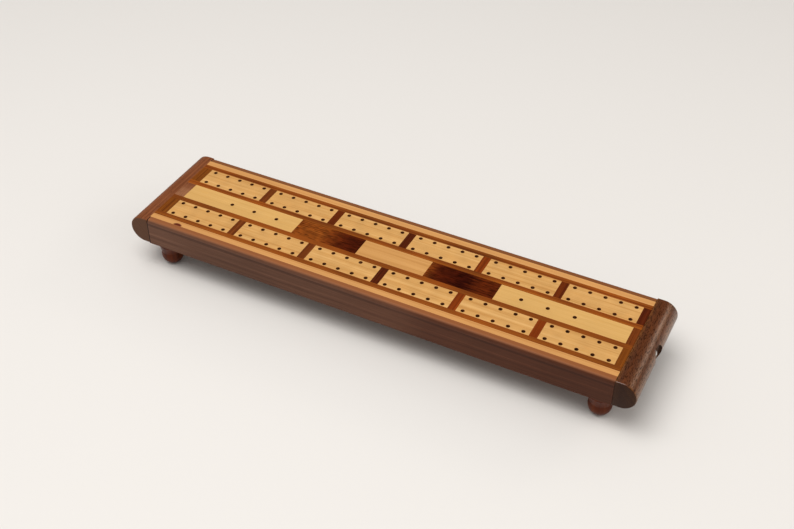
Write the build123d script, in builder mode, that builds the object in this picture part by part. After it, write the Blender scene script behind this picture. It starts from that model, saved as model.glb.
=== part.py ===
"""Cribbage box: a laminated peg board on four turned feet, with a drawer in one end.

Millimetres. X runs along the board, Y across it, Z up. The origin is on the
table, under the middle of the box. The drawer pulls out of the +X end.
"""

import os
from math import acos, cos, pi, sin

from build123d import *

os.makedirs("parts", exist_ok=True)

# Flat sides of the small round shapes that repeat
repeat_sides = 8

# Peg holes
hole_pitch = 9.525
row_spacing = 11.35
hole_diameter = 2.2
holes_per_row = 5
rows_per_lane = 2
centre_hole_count = 3
centre_hole_spacing = 16.7
centre_hole_inset = 15.4

# Lengths along the playing surface
street_count = 6
block_end_margin = 3.9
spacer_length = 5.15
end_spacer_left = 7.0
end_spacer_right = 4.6
centre_bar_length = 45.7
centre_middle_length = 46.1

# Widths across the playing surface, from the middle outwards
centre_width = 14.7
inner_stripe_width = 3.85
block_width = 15.1
outer_stripe_width = 3.65
edge_strip_width = 4.2
side_thickness = 4.35

# Heights
foot_height = 19.0
box_height = 18.8
top_thickness = 5.2
lining_thickness = 1.2
bottom_thickness = 2.6

# Case joinery
side_edge_radius = 2.4
lining_groove_depth = 1.2
bottom_rebate_depth = 1.8
cap_straight = 3.9
cap_end_chamfer = 0.7
cap_tongue_length = 3.0
cap_tongue_shoulder = 0.6
glue_gap = 0.1

# Turned feet
foot_inset_x = 8.6
foot_inset_y = 10.6
foot_ball_radius = 7.2
foot_pad_radius = 2.2
foot_neck_radius = 6.7
foot_collar_radius = 8.2
foot_collar_height = 4.6
foot_ball_band_count = 5
foot_tenon_radius = 3.0
foot_tenon_length = 2.2

# Drawer
drawer_reveal = 0.2
drawer_side_gap = 0.4
drawer_floor_gap = 0.3
drawer_top_gap = 0.4
drawer_back_gap = 3.5
drawer_wall = 2.8
drawer_floor_thickness = 1.6
drawer_rebate_depth = 1.3
drawer_corner_depth = 1.4
divider_thickness = 2.2
divider_dado_depth = 0.8

# Screw through the drawer front
screw_offset_y = 1.4
counterbore_radius = 4.3
counterbore_depth = 3.5
screw_head_radius = 3.2
screw_head_height = 2.3
screw_head_band_count = 2
screw_shank_radius = 1.3
screw_clearance = 0.1

# Pegs kept in the drawer
pegs_per_set = 3
peg_length = 27.0
peg_tip_length = 9.0
peg_tip_clearance = 0.2
peg_head_radius = 1.9
peg_head_chamfer = 0.6
peg_shoulder_radius = 1.45
peg_spacing = 6.5
peg_wall_gap = 5.0
peg_end_gap = 24.0
peg_rest_gap = 0.05

# Places that follow from the sizes above
block_length = (holes_per_row - 1) * hole_pitch + 2 * block_end_margin
street_pitch = block_length + spacer_length
field_length = street_count * block_length + (street_count - 1) * spacer_length
body_length = end_spacer_left + field_length + end_spacer_right
body_left = -body_length / 2
body_right = body_length / 2
field_left = body_left + end_spacer_left
field_right = body_right - end_spacer_right
field_middle = (field_left + field_right) / 2

centre_edge = centre_width / 2
lane_inner_edge = centre_edge + inner_stripe_width
lane_outer_edge = lane_inner_edge + block_width
outer_stripe_edge = lane_outer_edge + outer_stripe_width
cavity_half_width = outer_stripe_edge + edge_strip_width
box_half_width = cavity_half_width + side_thickness
lane_middle = (lane_inner_edge + lane_outer_edge) / 2

box_bottom = foot_height
box_top = box_bottom + box_height
box_middle = box_bottom + box_height / 2
deck_bottom = box_top - top_thickness
cavity_top = deck_bottom - lining_thickness
cavity_bottom = box_bottom + bottom_thickness
nose_radius = box_height / 2
cap_depth = cap_straight + nose_radius

front_face = body_right + drawer_reveal
drawer_left = body_left + cap_tongue_length + drawer_back_gap
drawer_half_width = cavity_half_width - drawer_side_gap
drawer_bottom_z = cavity_bottom + drawer_floor_gap
drawer_top_z = cavity_top - drawer_top_gap
drawer_floor_z = drawer_bottom_z + drawer_floor_thickness
divider_middle = (drawer_left + drawer_wall + front_face - drawer_wall) / 2
counterbore_floor = front_face + cap_depth - counterbore_depth


def write(piece, label):
    """Name a finished piece and save it as its own STEP file."""
    piece.part.label = label
    export_step(piece.part, f"parts/{label}.step")


def banded_arc(centre, radius, start, end, bands):
    """Points of a turned curve that is cut as a few straight bands."""
    steps = [start + (end - start) * band / bands for band in range(bands + 1)]
    return [(centre[0] + radius * cos(a), centre[1] + radius * sin(a)) for a in steps]


def bullnose(face_x, outward):
    """Half-round section of an end piece, from its joint face outwards."""
    shoulder_x = face_x + outward * cap_straight
    nose_x = face_x + outward * cap_depth
    with BuildSketch(Plane.XZ) as section:
        with BuildLine():
            Polyline(
                (shoulder_x, box_bottom),
                (face_x, box_bottom),
                (face_x, box_top),
                (shoulder_x, box_top),
            )
            ThreePointArc(
                (shoulder_x, box_top), (nose_x, box_middle), (shoulder_x, box_bottom)
            )
        make_face()
    return section.sketch


def deck_piece(label, x_range, y_range):
    """Plain strip or tile of the laminated playing surface."""
    with BuildPart() as piece:
        with BuildSketch(Plane.XY.offset(deck_bottom)):
            with Locations((sum(x_range) / 2, sum(y_range) / 2)):
                Rectangle(x_range[1] - x_range[0], y_range[1] - y_range[0])
        extrude(amount=top_thickness)
    write(piece, label)


def drill_pegs(places):
    """Cut peg holes from the sketch that is open: the first round, the rest flat-sided."""
    with Locations(places[0]):
        Circle(hole_diameter / 2, mode=Mode.SUBTRACT)
    with Locations(places[1:]):
        RegularPolygon(
            hole_diameter / 2, repeat_sides, major_radius=False, mode=Mode.SUBTRACT
        )


def plank(x_range, y_range, z_range, mode=Mode.ADD):
    """Rectangular board between three pairs of limits."""
    with BuildSketch(Plane.XY.offset(z_range[0]), mode=Mode.PRIVATE) as outline:
        with Locations((sum(x_range) / 2, sum(y_range) / 2)):
            Rectangle(x_range[1] - x_range[0], y_range[1] - y_range[0])
    extrude(outline.sketch, amount=z_range[1] - z_range[0], dir=(0, 0, 1), mode=mode)


# Side rails: rounded along the top edge, grooved for the lining and rebated
# underneath for the bottom panel.
with BuildPart() as side_front:
    plank(
        (body_left, body_right),
        (-box_half_width, -cavity_half_width),
        (box_bottom, box_top),
    )
    top_edge = side_front.edges().filter_by(Axis.X).group_by(Axis.Z)[-1]
    fillet(top_edge.sort_by(Axis.Y)[0], radius=side_edge_radius)
    plank(
        (body_left, body_right),
        (-cavity_half_width - lining_groove_depth, -cavity_half_width),
        (cavity_top, deck_bottom),
        mode=Mode.SUBTRACT,
    )
    plank(
        (body_left, body_right),
        (-cavity_half_width - bottom_rebate_depth, -cavity_half_width),
        (box_bottom, cavity_bottom),
        mode=Mode.SUBTRACT,
    )
write(side_front, "side_front")

with BuildPart() as side_back:
    mirror(side_front.part, about=Plane.XZ)
write(side_back, "side_back")

# Bottom panel: let into the side rails, bored for the tenons of the feet.
foot_x = body_right - foot_inset_x
foot_y = box_half_width - foot_inset_y
with BuildPart() as bottom_panel:
    bottom_half_width = cavity_half_width + bottom_rebate_depth
    plank(
        (body_left, body_right),
        (-bottom_half_width, bottom_half_width),
        (box_bottom, cavity_bottom),
    )
    with BuildSketch(Plane.XY.offset(box_bottom)):
        with GridLocations(2 * foot_x, 2 * foot_y, 2, 2):
            Circle(foot_tenon_radius + glue_gap)
    extrude(amount=bottom_thickness, mode=Mode.SUBTRACT)
write(bottom_panel, "bottom_panel")

# Lining under the playing surface: closes the peg holes and roofs the drawer.
with BuildPart() as deck_lining:
    lining_half_width = cavity_half_width + lining_groove_depth
    plank(
        (body_left, body_right),
        (-lining_half_width, lining_half_width),
        (cavity_top, deck_bottom),
    )
write(deck_lining, "deck_lining")

# Fixed end piece: half-round nose with a tongue that plugs the case.
with BuildPart() as end_cap:
    extrude(bullnose(body_left, -1), amount=box_half_width, both=True)
    end_outline = end_cap.faces().filter_by(Axis.Y).edges()
    chamfer(end_outline.filter_by(Axis.Z, reverse=True), length=cap_end_chamfer)
    tongue_half_width = cavity_half_width - cap_tongue_shoulder
    plank(
        (body_left, body_left + cap_tongue_length),
        (-tongue_half_width, tongue_half_width),
        (cavity_bottom + glue_gap, cavity_top - glue_gap),
    )
write(end_cap, "end_cap")

# Turned feet: a tenon, a thick collar against the box, and a ball that meets it in a
# shallow neck and stands on a small flat. The ball is cut as straight bands.
ball_z = (foot_ball_radius**2 - foot_pad_radius**2) ** 0.5
pad_angle = -acos(foot_pad_radius / foot_ball_radius)
neck_angle = acos(foot_neck_radius / foot_ball_radius)
collar_z = foot_height - foot_collar_height
with BuildPart() as foot:
    with BuildSketch(Plane.XZ):
        with BuildLine():
            Polyline(
                (0, 0),
                *banded_arc(
                    (0, ball_z), foot_ball_radius, pad_angle, neck_angle, foot_ball_band_count
                ),
                (foot_collar_radius, collar_z),
                (foot_collar_radius, foot_height),
                (foot_tenon_radius, foot_height),
                (foot_tenon_radius, foot_height + foot_tenon_length),
                (0, foot_height + foot_tenon_length),
                (0, 0),
            )
        make_face()
    revolve(axis=Axis.Z)

with BuildPart() as ball_feet:
    with GridLocations(2 * foot_x, 2 * foot_y, 2, 2):
        add(foot.part)
write(ball_feet, "ball_feet")

# Playing surface: long strips, mirrored about the middle of the board.
for side_name, side in (("front", -1), ("back", 1)):
    strips = {
        "inner_stripe": (centre_edge, lane_inner_edge),
        "outer_stripe": (lane_outer_edge, outer_stripe_edge),
        "edge_strip": (outer_stripe_edge, cavity_half_width),
    }
    for strip_name, edges in strips.items():
        across = sorted(side * edge for edge in edges)
        deck_piece(f"{strip_name}_{side_name}", (body_left, body_right), across)

# Peg lanes: six drilled blocks a lane, dark spacers between and beyond them. The
# first hole of a lane is round, and the holes that repeat it have a few flat sides.
block_centres = [
    field_left + block_length / 2 + street * street_pitch
    for street in range(street_count)
]
first_in_block = (1 - holes_per_row) / 2 * hole_pitch
first_row = (1 - rows_per_lane) / 2 * row_spacing
for side_name, side in (("front", -1), ("back", 1)):
    lane_y = side * lane_middle
    across = (lane_y - block_width / 2, lane_y + block_width / 2)
    hole_places = [
        (x + first_in_block + hole * hole_pitch, lane_y + first_row + row * row_spacing)
        for x in block_centres
        for hole in range(holes_per_row)
        for row in range(rows_per_lane)
    ]
    with BuildPart() as peg_blocks:
        with BuildSketch(Plane.XY.offset(deck_bottom)):
            with Locations([(x, lane_y) for x in block_centres]):
                Rectangle(block_length, block_width)
            drill_pegs(hole_places)
        extrude(amount=top_thickness)
    write(peg_blocks, f"peg_blocks_{side_name}")

    for gap in range(1, street_count):
        gap_left = field_left + gap * street_pitch - spacer_length
        deck_piece(f"spacer_{side_name}_{gap}", (gap_left, gap_left + spacer_length), across)
    deck_piece(f"end_spacer_left_{side_name}", (body_left, field_left), across)
    deck_piece(f"end_spacer_right_{side_name}", (field_right, body_right), across)

# Centre lane: drilled field, dark bar, plain middle, dark bar, drilled field.
middle_half = centre_middle_length / 2
bar_outer = middle_half + centre_bar_length
centre_across = (-centre_edge, centre_edge)
deck_piece("end_spacer_left_centre", (body_left, field_left), centre_across)
deck_piece("end_spacer_right_centre", (field_right, body_right), centre_across)
deck_piece(
    "centre_middle", (field_middle - middle_half, field_middle + middle_half), centre_across
)
for side_name, side in (("left", -1), ("right", 1)):
    bar = sorted((field_middle + side * middle_half, field_middle + side * bar_outer))
    deck_piece(f"centre_bar_{side_name}", bar, centre_across)

    field_end = field_left if side < 0 else field_right
    field_inner = field_middle + side * bar_outer
    first_hole = field_inner + side * centre_hole_inset
    with BuildPart() as centre_field:
        with BuildSketch(Plane.XY.offset(deck_bottom)):
            with Locations(((field_end + field_inner) / 2, 0)):
                Rectangle(abs(field_end - field_inner), centre_width)
            drill_pegs(
                [
                    (first_hole + side * hole * centre_hole_spacing, 0)
                    for hole in range(centre_hole_count)
                ]
            )
        extrude(amount=top_thickness)
    write(centre_field, f"centre_field_{side_name}")

# Drawer front: the second half-round end piece, counterbored in its nose.
screw_plane = Plane.YZ.offset(counterbore_floor)
with BuildPart() as drawer_front:
    extrude(bullnose(front_face, 1), amount=box_half_width, both=True)
    end_outline = drawer_front.faces().filter_by(Axis.Y).edges()
    chamfer(end_outline.filter_by(Axis.Z, reverse=True), length=cap_end_chamfer)
    with BuildSketch(screw_plane):
        with Locations((screw_offset_y, box_middle)):
            Circle(counterbore_radius)
    extrude(amount=counterbore_depth, mode=Mode.SUBTRACT)
    with BuildSketch(screw_plane):
        with Locations((screw_offset_y, box_middle)):
            Circle(screw_shank_radius + screw_clearance)
    extrude(amount=front_face - counterbore_floor, mode=Mode.SUBTRACT)
write(drawer_front, "drawer_front")

# Drawer box: two long walls rebated at both ends and along the bottom, with a
# front wall, a back wall, a floor and one cross divider let into them.
wall_inner = drawer_half_width - drawer_wall
wall_rebate = wall_inner + drawer_corner_depth
floor_half_width = wall_inner + drawer_rebate_depth
divider_half_width = wall_inner + divider_dado_depth
divider_range = (
    divider_middle - divider_thickness / 2,
    divider_middle + divider_thickness / 2,
)
inner_front_range = (front_face - drawer_wall, front_face)
back_range = (drawer_left, drawer_left + drawer_wall)
with BuildPart() as drawer_side_front:
    plank(
        (drawer_left, front_face),
        (-drawer_half_width, -wall_inner),
        (drawer_bottom_z, drawer_top_z),
    )
    for end_range in (inner_front_range, back_range):
        plank(
            end_range,
            (-wall_rebate, -wall_inner),
            (drawer_floor_z, drawer_top_z),
            mode=Mode.SUBTRACT,
        )
    plank(
        divider_range,
        (-divider_half_width, -wall_inner),
        (drawer_floor_z, drawer_top_z),
        mode=Mode.SUBTRACT,
    )
    plank(
        (drawer_left, front_face),
        (-floor_half_width, -wall_inner),
        (drawer_bottom_z, drawer_floor_z),
        mode=Mode.SUBTRACT,
    )
write(drawer_side_front, "drawer_side_front")

with BuildPart() as drawer_side_back:
    mirror(drawer_side_front.part, about=Plane.XZ)
write(drawer_side_back, "drawer_side_back")

with BuildPart() as drawer_floor:
    plank(
        (drawer_left, front_face),
        (-floor_half_width, floor_half_width),
        (drawer_bottom_z, drawer_floor_z),
    )
write(drawer_floor, "drawer_floor")

with BuildPart() as drawer_back:
    plank(back_range, (-wall_rebate, wall_rebate), (drawer_floor_z, drawer_top_z))
write(drawer_back, "drawer_back")

with BuildPart() as drawer_divider:
    plank(
        divider_range,
        (-divider_half_width, divider_half_width),
        (drawer_floor_z, drawer_top_z),
    )
write(drawer_divider, "drawer_divider")

with BuildPart() as drawer_inner_front:
    plank(inner_front_range, (-wall_rebate, wall_rebate), (drawer_floor_z, drawer_top_z))
    with BuildSketch(Plane.YZ.offset(front_face)):
        with Locations((screw_offset_y, box_middle)):
            Circle(screw_shank_radius + screw_clearance)
    extrude(amount=-drawer_wall, mode=Mode.SUBTRACT)
write(drawer_inner_front, "drawer_inner_front")

# Round-head screw: holds the half-round front to the drawer box.
crown_radius = (screw_head_radius**2 + screw_head_height**2) / (2 * screw_head_height)
crown_centre = (counterbore_floor + screw_head_height - crown_radius, screw_offset_y)
rim_angle = acos(1 - screw_head_height / crown_radius)
with BuildPart() as front_screw:
    with BuildSketch(Plane.XY.offset(box_middle)):
        with BuildLine():
            shank_end = front_face - drawer_wall
            shank_y = screw_offset_y + screw_shank_radius
            Polyline(
                (shank_end, screw_offset_y),
                (shank_end, shank_y),
                (counterbore_floor, shank_y),
                *banded_arc(crown_centre, crown_radius, rim_angle, 0, screw_head_band_count),
                (shank_end, screw_offset_y),
            )
        make_face()
    revolve(axis=Axis((0, screw_offset_y, box_middle), (1, 0, 0)))
write(front_screw, "front_screw")

# Pegs: two sets of slim pegs lying on the drawer floor, a set on each side of the
# divider. A straight tip fits the holes, and the body swells towards the head.
peg_axis_z = drawer_floor_z + peg_head_radius + peg_rest_gap
peg_tip_radius = hole_diameter / 2 - peg_tip_clearance
flat_down = 180 / repeat_sides
for set_name, compartment_end in (("light", divider_range[0]), ("dark", inner_front_range[0])):
    head_x = compartment_end - peg_end_gap
    tip_x = head_x - peg_length
    shoulder_x = tip_x + peg_tip_length
    peg_rows = [
        (wall_inner - peg_wall_gap - peg * peg_spacing, peg_axis_z)
        for peg in range(pegs_per_set)
    ]
    with BuildPart() as pegs:
        with BuildSketch(Plane.YZ.offset(tip_x)):
            with Locations(peg_rows):
                RegularPolygon(peg_tip_radius, repeat_sides, False, rotation=flat_down)
        extrude(amount=peg_tip_length)
        for peg_row in peg_rows:
            with BuildSketch(Plane.YZ.offset(shoulder_x)):
                with Locations(peg_row):
                    RegularPolygon(peg_shoulder_radius, repeat_sides, False, rotation=flat_down)
            with BuildSketch(Plane.YZ.offset(head_x)):
                with Locations(peg_row):
                    RegularPolygon(peg_head_radius, repeat_sides, False, rotation=flat_down)
            loft(ruled=True)
        chamfer(pegs.faces().sort_by(Axis.X)[-pegs_per_set:].edges(), length=peg_head_chamfer)
    write(pegs, f"pegs_{set_name}")
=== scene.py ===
import math

import bmesh
import bpy
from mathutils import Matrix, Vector


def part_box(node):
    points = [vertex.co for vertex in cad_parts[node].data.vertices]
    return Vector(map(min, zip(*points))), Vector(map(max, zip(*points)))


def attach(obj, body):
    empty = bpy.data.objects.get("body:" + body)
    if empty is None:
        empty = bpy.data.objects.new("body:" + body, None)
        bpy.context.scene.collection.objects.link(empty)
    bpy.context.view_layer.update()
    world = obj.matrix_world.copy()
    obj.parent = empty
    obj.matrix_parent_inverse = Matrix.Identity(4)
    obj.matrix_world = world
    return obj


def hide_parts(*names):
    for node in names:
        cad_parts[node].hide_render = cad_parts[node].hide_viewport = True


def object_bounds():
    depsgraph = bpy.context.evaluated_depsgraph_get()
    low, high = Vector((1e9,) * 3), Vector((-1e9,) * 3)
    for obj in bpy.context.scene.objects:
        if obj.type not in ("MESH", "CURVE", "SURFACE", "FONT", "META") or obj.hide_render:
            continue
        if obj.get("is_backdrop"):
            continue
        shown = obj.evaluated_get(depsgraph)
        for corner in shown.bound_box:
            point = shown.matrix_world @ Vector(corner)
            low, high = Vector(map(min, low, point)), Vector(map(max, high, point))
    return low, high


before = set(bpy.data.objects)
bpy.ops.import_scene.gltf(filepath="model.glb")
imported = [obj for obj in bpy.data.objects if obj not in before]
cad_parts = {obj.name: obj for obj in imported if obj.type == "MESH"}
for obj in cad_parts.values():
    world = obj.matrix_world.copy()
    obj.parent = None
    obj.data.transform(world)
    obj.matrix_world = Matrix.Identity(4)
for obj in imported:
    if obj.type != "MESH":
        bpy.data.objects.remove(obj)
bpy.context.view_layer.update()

# Side rails. Two straight walnut boards run the length of the box. Their top edge
# is rounded over, and they are grooved inside for the lining and the bottom panel.
MM = 0.001
rail_low, rail_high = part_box("side_front")
box_left, box_right = rail_low.x, rail_high.x
box_bottom, box_top = rail_low.z, rail_high.z
box_middle = (box_bottom + box_top) / 2
box_front = rail_low.y
box_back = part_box("side_back")[1].y


def seen(red, green, blue):
    """A colour as the eye reads it, 0 to 255, as the light values that a shader takes."""
    levels = [level / 255 for level in (red, green, blue)]
    light = [v / 12.92 if v <= 0.04045 else ((v + 0.055) / 1.055) ** 2.4 for v in levels]
    return (*light, 1.0)


def add_node(tree, kind, inputs=None, **settings):
    """One shader node. An input is a plain value, or the output of another node."""
    made = tree.nodes.new("ShaderNode" + kind)
    for setting, value in settings.items():
        setattr(made, setting, value)
    for socket, value in (inputs or {}).items():
        if isinstance(value, bpy.types.NodeSocket):
            tree.links.new(value, made.inputs[socket])
        else:
            made.inputs[socket].default_value = value
    return made


def worked_out(tree, operation, *values):
    """What a sum on one to three values comes to."""
    return add_node(tree, "Math", dict(enumerate(values)), operation=operation).outputs["Value"]


def spread(tree, value, start, end, low=0.0, high=1.0):
    """A value between start and end, spread evenly from low to high and held there."""
    ends = {"From Min": start, "From Max": end, "To Min": low, "To Max": high}
    return add_node(tree, "MapRange", {"Value": value, **ends}).outputs["Result"]


def part_of(tree, vector, axis):
    """How far a place or a direction reaches along one axis."""
    return add_node(tree, "SeparateXYZ", {"Vector": vector}).outputs[axis.upper()]


def noise(tree, place, scale, detail, roughness=0.5):
    """Soft random spots, about as many to a metre as the scale says."""
    inputs = {"Vector": place, "Scale": scale, "Detail": detail, "Roughness": roughness}
    return add_node(tree, "TexNoise", inputs).outputs["Fac"]


def stretched(tree, place, stretch, start=(0.0, 0.0, 0.0)):
    """A place drawn out along the grain, from a start of its own in the wood."""
    inputs = {"Vector": place, "Location": start, "Scale": stretch}
    return add_node(tree, "Mapping", inputs).outputs["Vector"]


def laid_over(tree, colour, share, tone, way="MIX"):
    """A colour with another one laid over it, by a share from 0 to 1."""
    inputs = {"Factor": share, "A": colour, "B": tone}
    mix = add_node(tree, "Mix", inputs, data_type="RGBA", blend_type=way)
    return mix.outputs["Result"]


def ramp(tree, factor, stops):
    """Colours laid along a value from 0 to 1."""
    made = add_node(tree, "ValToRGB", {"Fac": factor})
    made.color_ramp.interpolation = "EASE"
    points = made.color_ramp.elements
    while len(points) < len(stops):
        points.new(0.5)
    for point, (position, colour) in zip(points, stops):
        point.position = position
        point.color = colour
    return made.outputs["Color"]


# By the axis that the grain runs along: how the rings, fibres and pores are drawn
# out, and which way the growth rings lean across the piece.
GRAIN_STRETCH = {"x": (0.045, 1.0, 1.0), "y": (1.0, 0.045, 1.0), "z": (1.0, 1.0, 0.045)}
FIBRE_STRETCH = {"x": (0.35, 1.0, 1.0), "y": (1.0, 0.35, 1.0), "z": (1.0, 1.0, 0.35)}
PORE_STRETCH = {"x": (0.16, 1.0, 1.0), "y": (1.0, 0.16, 1.0), "z": (1.0, 1.0, 0.16)}
RING_LEAN = {"x": (0.0, 0.80, 0.60), "y": (0.75, 0.0, 0.66), "z": (0.80, 0.60, 0.0)}
# Pores are a little coarser than the fibres, sink below them and hardly shine.
PORE_FINENESS = 0.8
PORE_DIP = -0.8
PORE_SHINE = 0.2
# End grain is dull. The colour of an end or edge starts at FACING_FROM, as the surface
# turns towards its axis, and is as full as it gets at FACING_FULL.
END_SHEEN = 0.05
FACING_FROM = 0.58
FACING_FULL = 0.94
FACING_SHARE = 0.85


def wood(
    name,
    tones,
    along="x",
    rings=420.0,
    drift=2.2,
    fibres=2400.0,
    ring_share=0.6,
    pores=0.35,
    pore_colour=(40, 22, 12),
    pore_size=(0.60, 0.68),
    patches=0.10,
    patch_size=30.0,
    rough=0.46,
    sheen=0.12,
    varnish=0.0,
    relief=0.02,
    run=None,
    facing=(),
    over=None,
    seed=0.0,
):
    """An oiled wood finish with its grain along one axis, in real sizes.

    tones are the darkest, middle and lightest colours of the grain. rings and fibres
    are counts per metre across the grain, and relief is in millimetres. run shades the
    piece slowly along one axis. facing gives another colour to what faces along an
    axis, either way for x and y, and upwards alone for z. over is a function that lays
    a last mark over the colour.
    """
    material = bpy.data.materials.new(name)
    material.use_nodes = True
    tree = material.node_tree
    tree.nodes.clear()
    place = add_node(tree, "TexCoord").outputs["Object"]
    start = (seed * 1.7, seed * 2.3, seed * 3.1)
    grain = stretched(tree, place, GRAIN_STRETCH[along], start)

    # Growth rings: an uneven stack of layers across the grain, with a slow drift.
    across = add_node(
        tree, "VectorMath", {0: grain, 1: RING_LEAN[along]}, operation="DOT_PRODUCT"
    ).outputs["Value"]
    drifted = worked_out(tree, "MULTIPLY", noise(tree, grain, 38.0, 2.0), drift)
    layer = worked_out(tree, "MULTIPLY_ADD", across, rings, drifted)
    ring = add_node(
        tree,
        "TexNoise",
        {"W": layer, "Scale": 1.0, "Detail": 3.0, "Roughness": 0.55},
        noise_dimensions="1D",
    ).outputs["Fac"]

    # Fibres: fine threads that run with the grain.
    thread = noise(tree, stretched(tree, grain, FIBRE_STRETCH[along]), fibres, 3.0, 0.6)
    mixed = add_node(
        tree, "Mix", {"Factor": ring_share, "A": thread, "B": ring}, data_type="FLOAT"
    ).outputs["Result"]
    dark, middle, light = (seen(*tone) for tone in tones)
    colour = ramp(tree, mixed, [(0.34, dark), (0.50, middle), (0.66, light)])

    # Slow patches of lighter and darker wood.
    patch = noise(tree, place, patch_size, 1.0)
    level = spread(tree, patch, 0.3, 0.7, 1.0 - patches, 1.0 + patches)
    colour = add_node(tree, "HueSaturation", {"Color": colour, "Value": level}).outputs["Color"]

    # Pores: short dark dashes in the grain.
    pore_start = (seed, seed * 0.7, seed * 0.4)
    pore_place = stretched(tree, place, PORE_STRETCH[along], pore_start)
    pore = spread(tree, noise(tree, pore_place, fibres * PORE_FINENESS, 1.0, 0.4), *pore_size)
    pore_share = worked_out(tree, "MULTIPLY", pore, pores)
    colour = laid_over(tree, colour, pore_share, seen(*pore_colour))

    # Slow shading along the piece, its borders as ragged as the rings.
    if run:
        axis, run_start, run_end, raggedness, stops = run
        ragged = worked_out(tree, "MULTIPLY_ADD", ring, raggedness, part_of(tree, place, axis))
        share = spread(tree, ragged, run_start, run_end)
        shading = ramp(tree, share, [(at, (v, v**1.6, v**2, 1.0)) for at, v in stops])
        colour = laid_over(tree, colour, 1.0, shading, "MULTIPLY")

    # Sawn ends take the oil in another way, and end grain is dull. A colour for what faces
    # upwards is partly painted light from above.
    shine = sheen
    for axis, tone in facing:
        direction = add_node(tree, "TexCoord").outputs["Normal"]
        faced = part_of(tree, direction, axis)
        if axis != "z":
            faced = worked_out(tree, "ABSOLUTE", faced)
        faced_share = spread(tree, faced, FACING_FROM, FACING_FULL, 0.0, FACING_SHARE)
        colour = laid_over(tree, colour, faced_share, seen(*tone))
        if axis == along:
            shine = spread(tree, faced_share, 0.0, 1.0, sheen, END_SHEEN)

    # Open pores hardly shine.
    closed = spread(tree, pore_share, 0.0, 1.0, 1.0, PORE_SHINE)
    shine = worked_out(tree, "MULTIPLY", closed, shine)

    if over:
        colour = over(tree, colour, place, thread)

    # Dark grain is a little rougher than light grain, and the pores are dips.
    uneven = spread(tree, mixed, 0.0, 1.0, rough + 0.10, rough - 0.08)
    height = worked_out(tree, "MULTIPLY_ADD", pore, PORE_DIP, thread)
    bump = add_node(tree, "Bump", {"Height": height, "Distance": relief * MM}).outputs["Normal"]
    surface = add_node(
        tree,
        "BsdfPrincipled",
        {
            "Base Color": colour,
            "Roughness": uneven,
            "Normal": bump,
            "Specular IOR Level": shine,
            "Coat Weight": varnish,
            "Coat Roughness": 0.20,
        },
    )
    add_node(tree, "OutputMaterial", {"Surface": surface.outputs["BSDF"]})
    return material


def dress(node, material):
    """Give a piece of the frame its finish."""
    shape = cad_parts[node].data
    shape.materials.clear()
    shape.materials.append(material)


# The seam where the rails meet the fixed end piece is painted dark: painted shade.
SEAM_SHADE_TONE = (34, 16, 10)
SEAM_SHADE_REACH = 0.6 * MM


def seam_shade_line(tree, colour, place, thread):
    """A hair of painted shade where the rails meet the fixed end piece, for the seam between
    them.
    """
    line = worked_out(tree, "COMPARE", part_of(tree, place, "x"), box_left, SEAM_SHADE_REACH)
    return laid_over(tree, colour, line, seen(*SEAM_SHADE_TONE))


RAIL_TONES = ((78, 50, 37), (98, 66, 50), (116, 80, 62))
RAIL_END_GRAIN = (70, 42, 28)
# Upward faces of the rails are painted warmer and lighter, in a tone of each rail's own: partly
# the oiled edge, partly painted light from above.
RAIL_TOP_OIL_AND_LIGHT = {"side_front": (140, 84, 46), "side_back": (124, 74, 38)}
# The rails are painted darker towards their right end: painted shade, where less light falls.
RAIL_SHADE_RUN = [(0.0, 1.0), (0.45, 0.92), (0.6, 0.84), (0.7, 0.62), (1.0, 0.54)]
RAIL_SHADE_RAGGEDNESS = 30 * MM
for rail, rail_seed in (("side_front", 0.11), ("side_back", 0.83)):
    dress(
        rail,
        wood(
            "walnut_" + rail,
            RAIL_TONES,
            rings=800.0,
            drift=3.0,
            pores=0.12,
            patches=0.12,
            patch_size=14.0,
            relief=0.01,
            run=("x", box_left, box_right, RAIL_SHADE_RAGGEDNESS, RAIL_SHADE_RUN),
            facing=[("x", RAIL_END_GRAIN), ("z", RAIL_TOP_OIL_AND_LIGHT[rail])],
            over=seam_shade_line,
            seed=rail_seed,
        ),
    )

# Bottom panel. A plain walnut board that closes the box from below. Its edges are let
# into grooves in the rails, and it is bored for the tenons of the four feet.
dress(
    "bottom_panel",
    wood(
        "walnut_bottom",
        ((86, 57, 41), (104, 70, 50), (120, 84, 62)),
        rings=300.0,
        pores=0.4,
        patches=0.18,
        patch_size=9.0,
        rough=0.6,
        seed=2.6,
    ),
)

# Lining. A thin birch sheet under the playing surface, which closes the peg holes
# from below and roofs the drawer. It is glued on and let into the rails.
dress(
    "deck_lining",
    wood(
        "birch_lining",
        ((176, 142, 98), (204, 172, 126), (222, 194, 150)),
        rings=180.0,
        pores=0.12,
        pore_colour=(150, 116, 74),
        rough=0.65,
        seed=3.7,
    ),
)

# Fixed end piece. A strip of walnut laid across the end of the box, planed to a
# half round, softened at its ends and plugged into the box with a tongue.
NOSE_SOFTENING = 0.9 * MM
SOFTENING_STEPS = 5
NOSE_STEPS = 40
CREASE_ANGLE = math.radians(35)


def new_piece(name, shape, materials, body):
    """Turn a built shape into a piece of the scene that rides on a body."""
    bmesh.ops.recalc_face_normals(shape, faces=shape.faces)
    mesh = bpy.data.meshes.new(name)
    shape.to_mesh(mesh)
    shape.free()
    for polygon in mesh.polygons:
        polygon.use_smooth = True
    mesh.set_sharp_from_angle(angle=CREASE_ANGLE)
    for material in materials:
        mesh.materials.append(material)
    piece = bpy.data.objects.new(name, mesh)
    bpy.context.scene.collection.objects.link(piece)
    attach(piece, body)
    return piece


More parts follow.
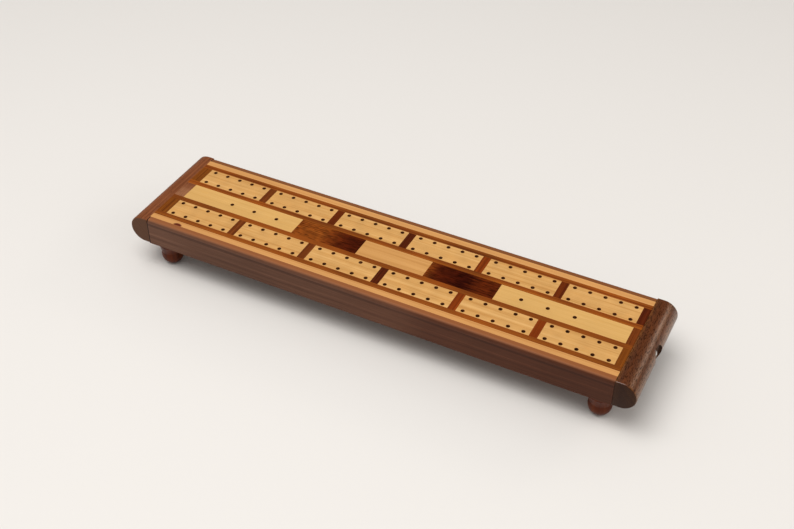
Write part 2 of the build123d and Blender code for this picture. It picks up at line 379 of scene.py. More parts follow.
def bridge(shape, loops):
    """Skin a row of equal closed outlines, each with the next."""
    faces = []
    for first, second in zip(loops, loops[1:]):
        count = len(first)
        for step in range(count):
            after = (step + 1) % count
            corners = (first[step], first[after], second[after], second[step])
            faces.append(shape.faces.new(corners))
    return faces


def add_block(shape, low, high):
    """A plain rectangular block, as part of a bigger shape."""
    outline = [(low.x, low.y), (high.x, low.y), (high.x, high.y), (low.x, high.y)]
    bottom, top = (
        [shape.verts.new((x, y, z)) for x, y in outline] for z in (low.z, high.z)
    )
    bridge(shape, [bottom, top])
    shape.faces.new(bottom)
    shape.faces.new(top)


def half_round(face_x, tip_x):
    """The half-round end piece, from its joint face to its nose."""
    outward = 1 if tip_x > face_x else -1
    radius = (box_top - box_bottom) / 2
    shoulder_x = tip_x - outward * radius
    insets = []
    for step in range(SOFTENING_STEPS + 1):
        angle = math.pi / 2 * step / SOFTENING_STEPS
        insets.append(
            (NOSE_SOFTENING * (1 - math.sin(angle)), NOSE_SOFTENING * (1 - math.cos(angle)))
        )
    slices = [(box_front + along, inset) for inset, along in insets]
    slices += [(box_back - along, inset) for inset, along in reversed(insets)]
    shape = bmesh.new()
    outlines = []
    for y, inset in slices:
        reach = radius - inset
        arc = [
            (
                shoulder_x + outward * reach * math.sin(math.pi * step / NOSE_STEPS),
                box_middle + reach * math.cos(math.pi * step / NOSE_STEPS),
            )
            for step in range(NOSE_STEPS + 1)
        ]
        outline = [(face_x, box_middle - reach), (face_x, box_middle + reach), *arc]
        outlines.append([shape.verts.new((x, y, z)) for x, z in outline])
    bridge(shape, outlines)
    shape.faces.new(outlines[0])
    shape.faces.new(outlines[-1])
    return shape


cap_low, cap_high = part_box("end_cap")
lining_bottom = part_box("deck_lining")[0].z
panel_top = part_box("bottom_panel")[1].z
left_nose = half_round(box_left, cap_low.x)
TONGUE_GAP = 0.1 * MM
TONGUE_SHOULDER = 0.6 * MM
cavity_front = rail_high.y
add_block(
    left_nose,
    Vector((box_left, cavity_front + TONGUE_SHOULDER, panel_top + TONGUE_GAP)),
    Vector((cap_high.x, -cavity_front - TONGUE_SHOULDER, lining_bottom - TONGUE_GAP)),
)
left_cap = new_piece(
    "end_cap_finished",
    left_nose,
    [
        wood(
            "walnut_left_cap",
            ((88, 44, 22), (118, 66, 37), (142, 86, 52)),
            along="y",
            rings=900.0,
            pores=0.35,
            patches=0.12,
            facing=[("y", (86, 62, 48))],
            seed=4.9,
        )
    ],
    "case",
)
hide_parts("end_cap")

# Ball feet. Four small turned feet of red-brown wood, varnished and glued into the
# bottom panel by a tenon: a thick collar against the box, a shallow neck and a ball.
FOOT_COLLAR_RADIUS = 8.2 * MM
FOOT_COLLAR_HEIGHT = 4.6 * MM
FOOT_COLLAR_SOFTENING = 1.2 * MM
FOOT_BALL_RADIUS = 7.2 * MM
FOOT_PAD_RADIUS = 2.2 * MM
FOOT_NECK_RADIUS = 6.7 * MM
FOOT_NECK_FLARE = 0.05 * MM
FOOT_NECK_LENGTH = 0.5 * MM
FOOT_TENON_RADIUS = 3.0 * MM
FOOT_BALL_STEPS = 28
FOOT_COLLAR_STEPS = 5
FOOT_COLLAR_START = -40
TURNING_STEPS = 48


def turned(shape, profile, centre, axis="z", steps=TURNING_STEPS):
    """Turn an outline of (radius, height) points, both ends on the axis, into a form."""
    rings = []
    for radius, height in profile:
        if radius == 0.0:
            ring = [(0.0, 0.0, height)]
        else:
            angles = [2 * math.pi * step / steps for step in range(steps)]
            ring = [(radius * math.cos(a), radius * math.sin(a), height) for a in angles]
        if axis == "x":
            ring = [(h, u, v) for u, v, h in ring]
        rings.append([shape.verts.new(Vector(point) + Vector(centre)) for point in ring])
    for first, second in zip(rings, rings[1:]):
        if len(first) == 1 or len(second) == 1:
            tip, rim = (first[0], second) if len(first) == 1 else (second[0], first)
            for step in range(steps):
                shape.faces.new((tip, rim[step], rim[(step + 1) % steps]))
        else:
            bridge(shape, [first, second])


def arc_points(centre, radius, start, end, steps):
    """Points along a round stretch of a turned outline, angles in degrees."""
    angles = [math.radians(start + (end - start) * step / steps) for step in range(steps + 1)]
    return [(centre[0] + radius * math.cos(a), centre[1] + radius * math.sin(a)) for a in angles]


feet_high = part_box("ball_feet")[1]
ball_height = math.sqrt(FOOT_BALL_RADIUS**2 - FOOT_PAD_RADIUS**2)
pad_angle = -math.degrees(math.acos(FOOT_PAD_RADIUS / FOOT_BALL_RADIUS))
neck_angle = math.degrees(math.acos(FOOT_NECK_RADIUS / FOOT_BALL_RADIUS))
neck_height = ball_height + math.sqrt(FOOT_BALL_RADIUS**2 - FOOT_NECK_RADIUS**2)
collar_height = box_bottom - FOOT_COLLAR_HEIGHT
collar_corner = (
    FOOT_COLLAR_RADIUS - FOOT_COLLAR_SOFTENING,
    collar_height + FOOT_COLLAR_SOFTENING,
)
foot_profile = [
    (0.0, 0.0),
    *arc_points((0.0, ball_height), FOOT_BALL_RADIUS, pad_angle, neck_angle, FOOT_BALL_STEPS),
    (FOOT_NECK_RADIUS + FOOT_NECK_FLARE, neck_height + FOOT_NECK_LENGTH),
    *arc_points(collar_corner, FOOT_COLLAR_SOFTENING, FOOT_COLLAR_START, 0, FOOT_COLLAR_STEPS),
    (FOOT_COLLAR_RADIUS, box_bottom),
    (FOOT_TENON_RADIUS, box_bottom),
    (FOOT_TENON_RADIUS, feet_high.z),
    (0.0, feet_high.z),
]
foot_x = feet_high.x - FOOT_COLLAR_RADIUS
foot_y = feet_high.y - FOOT_COLLAR_RADIUS
feet_shape = bmesh.new()
for x in (-foot_x, foot_x):
    for y in (-foot_y, foot_y):
        turned(feet_shape, foot_profile, (x, y, 0.0))
feet = new_piece(
    "ball_feet_turned",
    feet_shape,
    [
        wood(
            "turned_foot_wood",
            ((70, 26, 5), (84, 33, 8), (96, 42, 12)),
            along="z",
            rings=300.0,
            ring_share=0.8,
            pores=0.06,
            patches=0.06,
            rough=0.34,
            sheen=0.12,
            varnish=0.025,
            relief=0.0,
            seed=5.2,
        )
    ],
    "case",
)
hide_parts("ball_feet")

# Long strips of the playing surface. Red-brown stripes part the lanes, and a pale
# maple strip runs along each edge, all glued side by side and planed flush.
STRIPE_TONES = ((100, 42, 3), (125, 61, 8), (146, 80, 18))
for strip_seed, strip in enumerate(
    ("inner_stripe_front", "inner_stripe_back", "outer_stripe_front", "outer_stripe_back")
):
    dress(
        strip,
        wood(
            "stripe_wood_" + strip,
            STRIPE_TONES,
            rings=620.0,
            pores=0.15,
            pore_colour=(84, 36, 10),
            patches=0.28,
            patch_size=26.0,
            seed=6.1 + strip_seed,
        ),
    )

EDGE_TONES = ((181, 126, 70), (191, 138, 81), (199, 148, 91))
KNOT_TONE = (90, 34, 17)
KNOT_PLACE = (-135.7 * MM, -33.6 * MM)
KNOT_RADIUS = 1.7 * MM
KNOT_SQUEEZE = (0.55, 1.0, 1.0)
KNOT_FRAY = 0.5 * MM


def knot(tree, colour, place, thread):
    """The small dark red knot of the front strip, an oval with a frayed border."""
    offset = add_node(
        tree, "VectorMath", {0: place, 1: (*KNOT_PLACE, box_top)}, operation="SUBTRACT"
    ).outputs["Vector"]
    oval = add_node(
        tree, "VectorMath", {0: offset, 1: KNOT_SQUEEZE}, operation="MULTIPLY"
    ).outputs["Vector"]
    reach = add_node(tree, "VectorMath", {0: oval}, operation="LENGTH").outputs["Value"]
    frayed = worked_out(tree, "MULTIPLY_ADD", thread, KNOT_FRAY, reach)
    inside = spread(tree, frayed, KNOT_RADIUS * 1.25, KNOT_RADIUS * 0.9)
    return laid_over(tree, colour, inside, seen(*KNOT_TONE))


for strip_seed, strip in enumerate(("edge_strip_front", "edge_strip_back")):
    dress(
        strip,
        wood(
            "maple_" + strip,
            EDGE_TONES,
            rings=760.0,
            fibres=900.0,
            pores=0.08,
            pore_colour=(176, 104, 48),
            patches=0.05,
            over=knot if strip == "edge_strip_front" else None,
            seed=11.4 + strip_seed,
        ),
    )

# Peg blocks. Six blocks of pale maple lie in each lane. Two rows of five peg holes
# are drilled through each of them down to the lining, and the rims are eased.
HOLE_RADIUS = 1.1 * MM
HOLE_EASING = 0.18 * MM
HOLE_EASING_KNEE = 0.3
HOLE_FIRST_ANGLE = math.radians(225)
HOLE_STEPS = 24
HOLE_PITCH = 9.525 * MM
ROW_SPACING = 11.35 * MM
HOLES_PER_ROW = 5
BLOCK_COUNT = 6
BLOCK_TONES = ((178, 128, 69), (192, 145, 85), (203, 158, 99))
# The hole walls are painted dark brown: painted shade deep in the narrow holes.
HOLE_WALL_SHADE_TONES = ((58, 26, 10), (84, 42, 18), (104, 58, 28))
hole_shade_wood = wood("drilled_hole_painted_shade", HOLE_WALL_SHADE_TONES, along="z", rough=0.8, seed=13.0)


def drilled_block(name, low, high, columns, rows, materials):
    """A block with a grid of round holes from top to bottom, their rims eased."""
    shape = bmesh.new()

    def edges(places, start, end):
        """The borders of the cells that hold one hole each."""
        return [start, *[(a + b) / 2 for a, b in zip(places, places[1:])], end]

    x_edges = edges(columns, low.x, high.x)
    y_edges = edges(rows, low.y, high.y)
    grids = {}
    for z in (high.z, low.z):
        grids[z] = [[shape.verts.new((x, y, z)) for y in y_edges] for x in x_edges]
    quarter = HOLE_STEPS // 4
    for i, x in enumerate(columns):
        for j, y in enumerate(rows):
            knee = HOLE_EASING * HOLE_EASING_KNEE
            levels = [(high.z, HOLE_EASING), (high.z - knee, knee)]
            levels += [(high.z - HOLE_EASING, 0.0), (low.z, 0.0)]
            loops = []
            for z, extra in levels:
                reach = HOLE_RADIUS + extra
                angles = [
                    HOLE_FIRST_ANGLE + 2 * math.pi * step / HOLE_STEPS
                    for step in range(HOLE_STEPS)
                ]
                loops.append(
                    [
                        shape.verts.new((x + reach * math.cos(a), y + reach * math.sin(a), z))
                        for a in angles
                    ]
                )
            for face in bridge(shape, loops):
                face.material_index = 1
            for z, rim in ((high.z, loops[0]), (low.z, loops[-1])):
                grid = grids[z]
                corners = [grid[i][j], grid[i + 1][j], grid[i + 1][j + 1], grid[i][j + 1]]
                for side in range(4):
                    corner, after = corners[side], corners[(side + 1) % 4]
                    first = side * quarter
                    stretch = [rim[(first + step) % HOLE_STEPS] for step in range(quarter + 1)]
                    middle = quarter // 2
                    for step in range(quarter):
                        anchor = corner if step < middle else after
                        shape.faces.new((anchor, stretch[step], stretch[step + 1]))
                    shape.faces.new((corner, after, stretch[middle]))
    outline = {}
    for z, grid in grids.items():
        far_side = [column[-1] for column in reversed(grid)]
        outline[z] = (
            [column[0] for column in grid]
            + grid[-1][1:-1]
            + far_side
            + list(reversed(grid[0][1:-1]))
        )
    bridge(shape, [outline[high.z], outline[low.z]])
    return new_piece(name, shape, materials, "case")


for side, lane_seed in (("front", 14.0), ("back", 23.1)):
    lane = "peg_blocks_" + side
    lane_low, lane_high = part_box(lane)
    lane_middle = (lane_low.y + lane_high.y) / 2
    first_gap, second_gap = (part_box(f"spacer_{side}_{number}")[0].x for number in (1, 2))
    pitch = second_gap - first_gap
    block_length = first_gap - lane_low.x
    rows = [lane_middle - ROW_SPACING / 2, lane_middle + ROW_SPACING / 2]
    for number in range(BLOCK_COUNT):
        left = lane_low.x + number * pitch
        middle = left + block_length / 2
        columns = [
            middle + (hole - (HOLES_PER_ROW - 1) / 2) * HOLE_PITCH
            for hole in range(HOLES_PER_ROW)
        ]
        maple = wood(
            f"maple_block_{side}_{number + 1}",
            BLOCK_TONES,
            rings=340.0,
            fibres=1100.0,
            ring_share=0.45,
            pores=0.18,
            pore_colour=(196, 134, 66),
            patches=0.05,
            patch_size=110.0,
            seed=lane_seed + number * 1.37,
        )
        block = drilled_block(
            f"{lane}_{number + 1}",
            Vector((left, lane_low.y, lane_low.z)),
            Vector((left + block_length, lane_high.y, lane_high.z)),
            columns,
            rows,
            [maple, hole_shade_wood],
        )
        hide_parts(lane)

# Spacers. Short blocks of walnut and redder woods, glued between the maple blocks and
# across both ends of the lanes. Their grain runs across the box.
SPACER_FADE = [(0.0, 1.0), (0.5, 0.96), (0.8, 0.74), (1.0, 0.64)]
SPACER_FADE_RAGGEDNESS = 2 * MM
SPACER_TONES = {
    "plain": ((80, 32, 5), (100, 46, 11), (116, 58, 19)),
    "light": ((92, 42, 5), (113, 58, 11), (130, 72, 19)),
    "red": ((72, 24, 2), (88, 32, 3), (102, 42, 5)),
    "dark": ((58, 17, 2), (74, 25, 4), (88, 34, 8)),
    "orange": ((98, 37, 2), (116, 46, 4), (132, 58, 9)),
    "grey": ((118, 74, 48), (142, 93, 63), (156, 108, 76)),
}
spacer_woods = {
    "spacer_front_1": "plain",
    "spacer_front_2": "plain",
    "spacer_front_3": "dark",
    "spacer_front_4": "orange",
    "spacer_front_5": "orange",
    "spacer_back_1": "plain",
    "spacer_back_2": "red",
    "spacer_back_3": "dark",
    "spacer_back_4": "orange",
    "spacer_back_5": "red",
    "end_spacer_left_front": "light",
    "end_spacer_left_back": "light",
    "end_spacer_left_centre": "grey",
    "end_spacer_right_front": "light",
    "end_spacer_right_back": "dark",
    "end_spacer_right_centre": "plain",
}
for spacer_seed, (spacer, kind) in enumerate(spacer_woods.items()):
    fade = None
    if kind == "grey":
        low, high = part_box(spacer)
        fade = ("y", low.y, high.y, SPACER_FADE_RAGGEDNESS, SPACER_FADE)
    dress(
        spacer,
        wood(
            "walnut_" + spacer,
            SPACER_TONES[kind],
            along="y",
            rings=700.0,
            pores=0.2,
            patches=0.12,
            sheen=0.07,
            run=fade,
            seed=30.0 + spacer_seed * 0.77,
        ),
    )

# Centre lane. A plain maple piece lies in the middle, and a longer maple field near
# each end is drilled with three peg holes. All are glued in flush with the lanes.
CENTRE_TONES = ((190, 147, 84), (196, 153, 90), (202, 160, 97))
MIDDLE_TONES = ((178, 127, 70), (187, 136, 78), (194, 144, 86))
CENTRE_HOLE_SPACING = 16.7 * MM
CENTRE_HOLE_INSET = 15.4 * MM
CENTRE_HOLES = 3


def centre_maple(name, tones, seed):
    """The slightly yellower maple of the centre lane."""
    return wood(
        name,
        tones,
        rings=300.0,
        fibres=1100.0,
        ring_share=0.45,
        pores=0.14,
        pore_colour=(204, 150, 76),
        patches=0.03,
        seed=seed,
    )


dress("centre_middle", centre_maple("maple_centre_middle", MIDDLE_TONES, 41.3))
for side, outward, field_seed in (("left", -1, 42.6), ("right", 1, 43.9)):
    field_low, field_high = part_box("centre_field_" + side)
    inner_x = field_high.x if outward < 0 else field_low.x
    columns = sorted(
        inner_x + outward * (CENTRE_HOLE_INSET + hole * CENTRE_HOLE_SPACING)
        for hole in range(CENTRE_HOLES)
    )
    field = drilled_block(
        f"centre_field_{side}_drilled",
        field_low,
        field_high,
        columns,
        [0.0],
        [centre_maple("maple_centre_" + side, CENTRE_TONES, field_seed), hole_shade_wood],
    )
    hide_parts("centre_field_" + side)

# Centre bars. Two short bars of dark wood with black streaks, glued in between the
# middle piece and the drilled fields. Each darkens along its length.
BAR_FADE_RAGGEDNESS = 14 * MM
BAR_TONES = ((98, 45, 8), (124, 61, 14), (144, 78, 24))
bar_runs = {
    "left": [(0.0, 0.6), (0.3, 1.0), (0.55, 1.0), (0.7, 0.66), (0.88, 0.36), (1.0, 0.28)],
    "right": [(0.0, 1.0), (0.15, 0.8), (0.3, 0.3), (0.5, 0.23), (0.7, 0.14), (0.9, 0.4)],
}
for side, bar_seed in (("left", 51.2), ("right", 53.6)):
    bar_low, bar_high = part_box("centre_bar_" + side)
    dress(
        "centre_bar_" + side,
        wood(
            "dark_bar_" + side,
            BAR_TONES,
            rings=900.0,
            drift=4.0,
            fibres=1700.0,
            pores=0.5,
            pore_colour=(34, 9, 2),
            pore_size=(0.50, 0.64),
            patches=0.22,
            patch_size=230.0,
            sheen=0.05,
            run=("x", bar_low.x, bar_high.x, BAR_FADE_RAGGEDNESS, bar_runs[side]),
            seed=bar_seed,
        ),
    )

# Drawer front. The second half-round end piece, of darker open-pored walnut, with
# a counterbore in its nose for the screw that holds it to the drawer.
COUNTERBORE_RADIUS = 4.3 * MM
COUNTERBORE_DEPTH = 3.5 * MM
MOUTH_RADIUS = 6.2 * MM
MOUTH_DEPTH = 1.4 * MM
MOUTH_COVE_DEPTH = 3.0 * MM
MOUTH_COVE_STEPS = 6
SHANK_HOLE_RADIUS = 1.4 * MM
CUT_OVERSHOOT = 1.0 * MM
SCREW_OFFSET_Y = 1.4 * MM


def cut_away(piece, cutter_shape):
    """Cut one closed form out of a piece and drop the tool."""
    mesh = bpy.data.meshes.new("cutter")
    bmesh.ops.recalc_face_normals(cutter_shape, faces=cutter_shape.faces)
    cutter_shape.to_mesh(mesh)
    cutter_shape.free()
    cutter = bpy.data.objects.new("cutter", mesh)
    bpy.context.scene.collection.objects.link(cutter)
    modifier = piece.modifiers.new("cut", "BOOLEAN")
    modifier.operation = "DIFFERENCE"
    modifier.solver = "EXACT"
    modifier.object = cutter
    bpy.context.view_layer.update()
    evaluated = piece.evaluated_get(bpy.context.evaluated_depsgraph_get())
    result = bpy.data.meshes.new_from_object(evaluated)
    piece.modifiers.remove(modifier)
    piece.data = result
    bpy.data.objects.remove(cutter)
    bpy.data.meshes.remove(mesh)
    result.set_sharp_from_angle(angle=CREASE_ANGLE)


front_low, front_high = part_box("drawer_front")
# Its end grain is painted far darker than the left cap's: partly the darker wood, partly painted
# shade, where less light falls.
FRONT_END_GRAIN_AND_SHADE = (43, 24, 14)
# Bands round the nose: the dark streaks are the wood's own, and the lighter bands towards its
# tip are partly painted sheen.
FRONT_BAND_RAGGEDNESS = 1 * MM
FRONT_STREAKS_AND_SHEEN = [(0.0, 0.86), (0.16, 0.74), (0.32, 0.47), (0.54, 0.62), (0.66, 0.80)]
FRONT_STREAKS_AND_SHEEN += [(0.76, 0.88), (0.84, 0.70), (0.91, 0.98), (1.0, 1.0)]
dark_front = new_piece(
    "drawer_front_finished",
    half_round(front_low.x, front_high.x),
    [
        wood(
            "walnut_drawer_front",
            ((92, 50, 15), (113, 67, 23), (130, 84, 36)),
            along="y",
            rings=560.0,
            drift=2.0,
            fibres=3400.0,
            pores=0.72,
            pore_colour=(30, 15, 7),
            pore_size=(0.51, 0.60),
            patches=0.12,
            rough=0.30,
            sheen=0.72,
            run=("x", front_low.x, front_high.x, FRONT_BAND_RAGGEDNESS, FRONT_STREAKS_AND_SHEEN),
            facing=[("y", FRONT_END_GRAIN_AND_SHADE)],
            seed=61.7,
        )
    ],
    "drawer",
)
counterbore_floor = front_high.x - COUNTERBORE_DEPTH
front_depth = front_high.x - front_low.x
mouth_cove = []
for step in range(MOUTH_COVE_STEPS + 1):
    angle = math.pi / 2 * step / MOUTH_COVE_STEPS
    widening = (MOUTH_RADIUS - COUNTERBORE_RADIUS) * math.sin(angle)
    rise = (MOUTH_COVE_DEPTH - MOUTH_DEPTH) * (1 - math.cos(angle))
    mouth_cove.append((COUNTERBORE_RADIUS + widening, front_depth - MOUTH_COVE_DEPTH + rise))
bore = bmesh.new()
turned(
    bore,
    [
        (0.0, -CUT_OVERSHOOT),
        (SHANK_HOLE_RADIUS, -CUT_OVERSHOOT),
        (SHANK_HOLE_RADIUS, counterbore_floor - front_low.x),
        (COUNTERBORE_RADIUS, counterbore_floor - front_low.x),
        *mouth_cove,
        (MOUTH_RADIUS, front_depth + CUT_OVERSHOOT),
        (0.0, front_depth + CUT_OVERSHOOT),
    ],
    (front_low.x, SCREW_OFFSET_Y, box_middle),
    axis="x",
)
cut_away(dark_front, bore)
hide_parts("drawer_front")

# Front screw. A round-head steel screw down in the counterbore, with a slot across
# its polished crown.
SCREW_HEAD_RADIUS = 3.2 * MM
SCREW_HEAD_HEIGHT = 2.3 * MM
SCREW_SHANK_RADIUS = 1.3 * MM
SCREW_CROWN_STEPS = 12
SLOT_WIDTH = 0.7 * MM
SLOT_DEPTH = 0.9 * MM
SLOT_REACH = 5 * MM
STEEL_TONE = (214, 212, 208)
STEEL_DARK_TONE = (188, 186, 182)


def polished_steel(name):
    """Bright steel with faint turning marks."""
    material = bpy.data.materials.new(name)
    material.use_nodes = True
    tree = material.node_tree
    tree.nodes.clear()
    marks = noise(tree, add_node(tree, "TexCoord").outputs["Object"], 2600.0, 2.0)
    tint = ramp(tree, marks, [(0.3, seen(*STEEL_DARK_TONE)), (0.7, seen(*STEEL_TONE))])
    rough = spread(tree, marks, 0.0, 1.0, 0.16, 0.30)
    bump = add_node(tree, "Bump", {"Height": marks, "Distance": 0.004 * MM}).outputs["Normal"]
    surface = add_node(
        tree,
        "BsdfPrincipled",
        {"Base Color": tint, "Roughness": rough, "Normal": bump, "Metallic": 1.0},
    )
    add_node(tree, "OutputMaterial", {"Surface": surface.outputs["BSDF"]})
    return material


screw_low, screw_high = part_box("front_screw")
crown_radius = (SCREW_HEAD_RADIUS**2 + SCREW_HEAD_HEIGHT**2) / (2 * SCREW_HEAD_HEIGHT)
rim_angle = math.degrees(math.acos(1 - SCREW_HEAD_HEIGHT / crown_radius))
head_start = counterbore_floor - screw_low.x
crown_centre = (head_start + SCREW_HEAD_HEIGHT - crown_radius, 0.0)
crown = arc_points(crown_centre, crown_radius, rim_angle, 0.0, SCREW_CROWN_STEPS)
screw_profile = [
    (0.0, 0.0),
    (SCREW_SHANK_RADIUS, 0.0),
    (SCREW_SHANK_RADIUS, head_start),
    (SCREW_HEAD_RADIUS, head_start),
    *[(radius, height) for height, radius in crown[1:-1]],
    (0.0, head_start + SCREW_HEAD_HEIGHT),
]
screw_shape = bmesh.new()
turned(screw_shape, screw_profile, (screw_low.x, SCREW_OFFSET_Y, box_middle), axis="x")
screw = new_piece("front_screw_slotted", screw_shape, [polished_steel("screw_steel")], "drawer")
slot_middle = Vector((screw_high.x, SCREW_OFFSET_Y, box_middle))
slot_cut = bmesh.new()
add_block(
    slot_cut,
    slot_middle - Vector((SLOT_DEPTH, SLOT_REACH, SLOT_WIDTH / 2)),
    slot_middle + Vector((CUT_OVERSHOOT, SLOT_REACH, SLOT_WIDTH / 2)),
)
cut_away(screw, slot_cut)
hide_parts("front_screw")

# Drawer box. Thin pale boards, rebated at the corners, with a divider across the
# middle and a floor let in from below. They are sanded and waxed.
DRAWER_TONES = ((180, 138, 92), (196, 154, 106), (208, 168, 120))
# Their edges are lighter: partly wear, partly painted highlight.
WORN_AND_LIT_EDGE_TONE = (206, 166, 116)
EDGE_MARK_REACH = 1.1 * MM
drawer_boards = {
    "drawer_side_front": "x",
    "drawer_side_back": "x",
    "drawer_floor": "x",
    "drawer_back": "y",
    "drawer_divider": "y",
    "drawer_inner_front": "y",
}


def rubbed_and_lit_edges(tree, colour, place, thread):
    """Edges made lighter by how sharply the surface turns there: partly rubbed wear, partly a
    painted edge highlight.
    """
    rounded = add_node(tree, "Bevel", {"Radius": EDGE_MARK_REACH}, samples=6).outputs["Normal"]
    square = add_node(tree, "NewGeometry").outputs["Normal"]
    flat = add_node(
        tree, "VectorMath", {0: rounded, 1: square}, operation="DOT_PRODUCT"
    ).outputs["Value"]
    return laid_over(tree, colour, spread(tree, flat, 0.98, 0.80, 0.0, 0.55), seen(*WORN_AND_LIT_EDGE_TONE))


for board_seed, (board, direction) in enumerate(drawer_boards.items()):
    dress(
        board,
        wood(
            "drawer_wood_" + board,
            DRAWER_TONES,
            along=direction,
            rings=360.0,
            drift=3.0,
            pores=0.2,
            pore_colour=(140, 96, 54),
            patches=0.08,
            rough=0.6,
            over=rubbed_and_lit_edges,
            seed=71.0 + board_seed * 1.9,
        ),
    )

# Pegs. Two sets of three turned pegs, pale and dark, lie in the drawer. Each has a
# straight tip for the hole and a body that swells to a rounded head.
PEG_POINT_RADIUS = 0.63 * MM
PEG_POINT_LENGTH = 0.4 * MM
PEG_TIP_RADIUS = 0.9 * MM
PEG_TIP_LENGTH = 9.0 * MM
PEG_SHOULDER_RADIUS = 1.45 * MM
PEG_SHOULDER_LENGTH = 0.5 * MM
PEG_HEAD_RADIUS = 1.9 * MM
PEG_WAIST_SHARE = 0.94
PEG_WAIST_FROM_END = 2.2
PEG_CROWN_END = 84
PEG_CROWN_STEPS = 8
PEG_STEPS = 24
PEG_SPACING = 6.5 * MM
PEG_COUNT = 3
peg_finishes = {
    "light": ((196, 150, 92), (222, 180, 122), (236, 202, 150)),
    "dark": ((48, 26, 14), (78, 46, 26), (104, 66, 40)),
}
for set_seed, (kind, tones) in enumerate(peg_finishes.items()):
    set_low, set_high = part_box("pegs_" + kind)
    peg_length = set_high.x - set_low.x
    head_centre = (0.0, peg_length - PEG_HEAD_RADIUS)
    peg_profile = [
        (0.0, 0.0),
        (PEG_POINT_RADIUS, 0.0),
        (PEG_TIP_RADIUS, PEG_POINT_LENGTH),
        (PEG_TIP_RADIUS, PEG_TIP_LENGTH),
        (PEG_SHOULDER_RADIUS, PEG_TIP_LENGTH + PEG_SHOULDER_LENGTH),
        (PEG_HEAD_RADIUS * PEG_WAIST_SHARE, peg_length - PEG_HEAD_RADIUS * PEG_WAIST_FROM_END),
        *arc_points(head_centre, PEG_HEAD_RADIUS, 0, PEG_CROWN_END, PEG_CROWN_STEPS),
        (0.0, peg_length),
    ]
    peg_shape = bmesh.new()
    for peg in range(PEG_COUNT):
        peg_y = set_high.y - PEG_HEAD_RADIUS - peg * PEG_SPACING
        centre = (set_low.x, peg_y, set_low.z + PEG_HEAD_RADIUS)
        turned(peg_shape, peg_profile, centre, axis="x", steps=PEG_STEPS)
    peg_set = new_piece(
        f"pegs_{kind}_turned",
        peg_shape,
        [
            wood(
                f"peg_{kind}_wood",
                tones,
                rings=900.0,
                pores=0.2,
                rough=0.36,
                sheen=0.45,
                seed=81.0 + set_seed * 3.3,
            )
        ],
        "drawer",
    )
    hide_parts("pegs_" + kind)

# Table, light and camera. A pale smooth floor, a wide soft light high up and a little
# to the left, two weaker ones lower down on the right, behind the box and beside it,
# and a camera at the photograph's angle.
FLOOR_REACH = 8.0
FLOOR_TONE = (216, 213, 210)
FLOOR_ROUGHNESS = 0.7
SKY_TONE = (255, 253, 250)
BACKDROP_TONE = (232, 231, 230)
floor_mesh = bpy.data.meshes.new("floor")
floor_corners = [(-FLOOR_REACH, -FLOOR_REACH), (FLOOR_REACH, -FLOOR_REACH)]
floor_corners += [(FLOOR_REACH, FLOOR_REACH), (-FLOOR_REACH, FLOOR_REACH)]
floor_mesh.from_pydata([(x, y, 0.0) for x, y in floor_corners], [], [(0, 1, 2, 3)])
floor = bpy.data.objects.new("floor", floor_mesh)
bpy.context.scene.collection.objects.link(floor)
floor_finish = bpy.data.materials.new("pale_floor")
floor_finish.use_nodes = True
floor_surface = floor_finish.node_tree.nodes["Principled BSDF"]
floor_surface.inputs["Base Color"].default_value = seen(*FLOOR_TONE)
floor_surface.inputs["Roughness"].default_value = FLOOR_ROUGHNESS
floor_mesh.materials.append(floor_finish)
floor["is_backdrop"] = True

world = bpy.data.worlds.new("studio")
world.use_nodes = True
bpy.context.scene.world = world
sky = world.node_tree
sky.nodes.clear()
soft_sky = add_node(sky, "Background", {"Color": seen(*SKY_TONE), "Strength": 0.50})
dim_sky = add_node(sky, "Background", {"Color": seen(*SKY_TONE), "Strength": 0.08})
shown_sky = add_node(sky, "Background", {"Color": seen(*BACKDROP_TONE), "Strength": 1.0})
rays = add_node(sky, "LightPath").outputs
reflected_sky = add_node(
    sky,
    "MixShader",
    {
        0: rays["Is Glossy Ray"],
        1: soft_sky.outputs["Background"],
        2: dim_sky.outputs["Background"],
    },
)
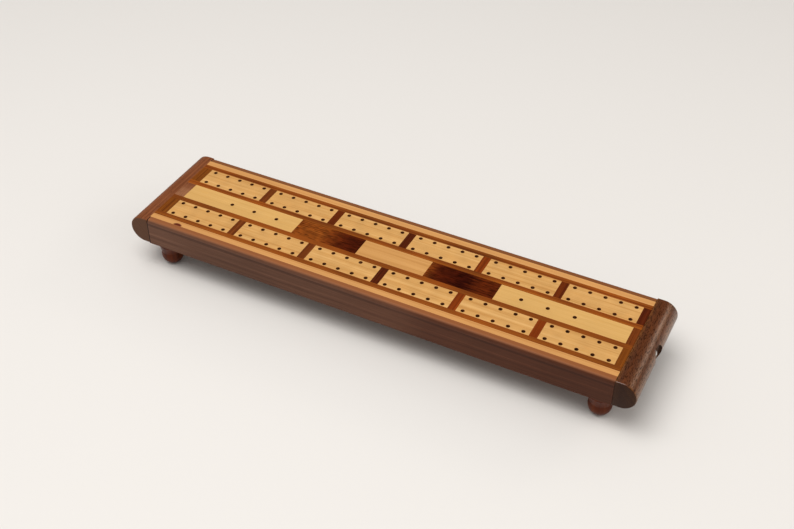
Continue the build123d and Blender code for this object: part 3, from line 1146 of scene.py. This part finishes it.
sky_mix = add_node(
    sky,
    "MixShader",
    {
        0: rays["Is Camera Ray"],
        1: reflected_sky.outputs["Shader"],
        2: shown_sky.outputs["Background"],
    },
)
add_node(sky, "OutputWorld", {"Surface": sky_mix.outputs["Shader"]})


def soft_lamp(name, place, aim, size, power, tint):
    """A rectangular soft box, aimed at a point."""
    data = bpy.data.lights.new(name, "AREA")
    data.shape = "RECTANGLE"
    data.size, data.size_y = size
    data.energy = power
    data.color = tint
    lamp = bpy.data.objects.new(name, data)
    bpy.context.scene.collection.objects.link(lamp)
    lamp.location = place
    lamp.rotation_euler = (Vector(aim) - Vector(place)).to_track_quat("-Z", "Y").to_euler()
    return lamp


soft_lamp(
    "window",
    place=(-0.20, -0.34, 1.40),
    aim=(0, 0, 0),
    size=(1.3, 1.0),
    power=19.0,
    tint=(1.0, 0.985, 0.96),
)
soft_lamp(
    "far_window",
    place=(0.85, 0.93, 0.62),
    aim=(0.16, 0, 0),
    size=(0.55, 0.22),
    power=1.6,
    tint=(1.0, 0.93, 0.84),
)
bounce = soft_lamp(
    "bounce",
    place=(0.95, 0.05, 0.55),
    aim=(0.17, 0, 0),
    size=(0.9, 0.6),
    power=1.7,
    tint=(1.0, 0.98, 0.95),
)
# It only fills the shade, and leaves no reflection of its own.
bounce.visible_glossy = False

CAMERA_PLACE = Vector((0.25381, -0.48905, 0.49830))
CAMERA_AIM = Vector((0.00583, -0.00474, 0.03780))
CAMERA_LENS = 53.13
CAMERA_FILM_WIDTH = 36.0
camera_data = bpy.data.cameras.new("camera")
camera_data.sensor_width = CAMERA_FILM_WIDTH
camera_data.lens = CAMERA_LENS
camera_data.clip_start = 0.01
camera = bpy.data.objects.new("camera", camera_data)
bpy.context.scene.collection.objects.link(camera)
camera.location = CAMERA_PLACE
camera.rotation_euler = (CAMERA_AIM - CAMERA_PLACE).to_track_quat("-Z", "Y").to_euler()
bpy.context.scene.camera = camera
bpy.context.scene.view_settings.view_transform = "Standard"

low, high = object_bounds()
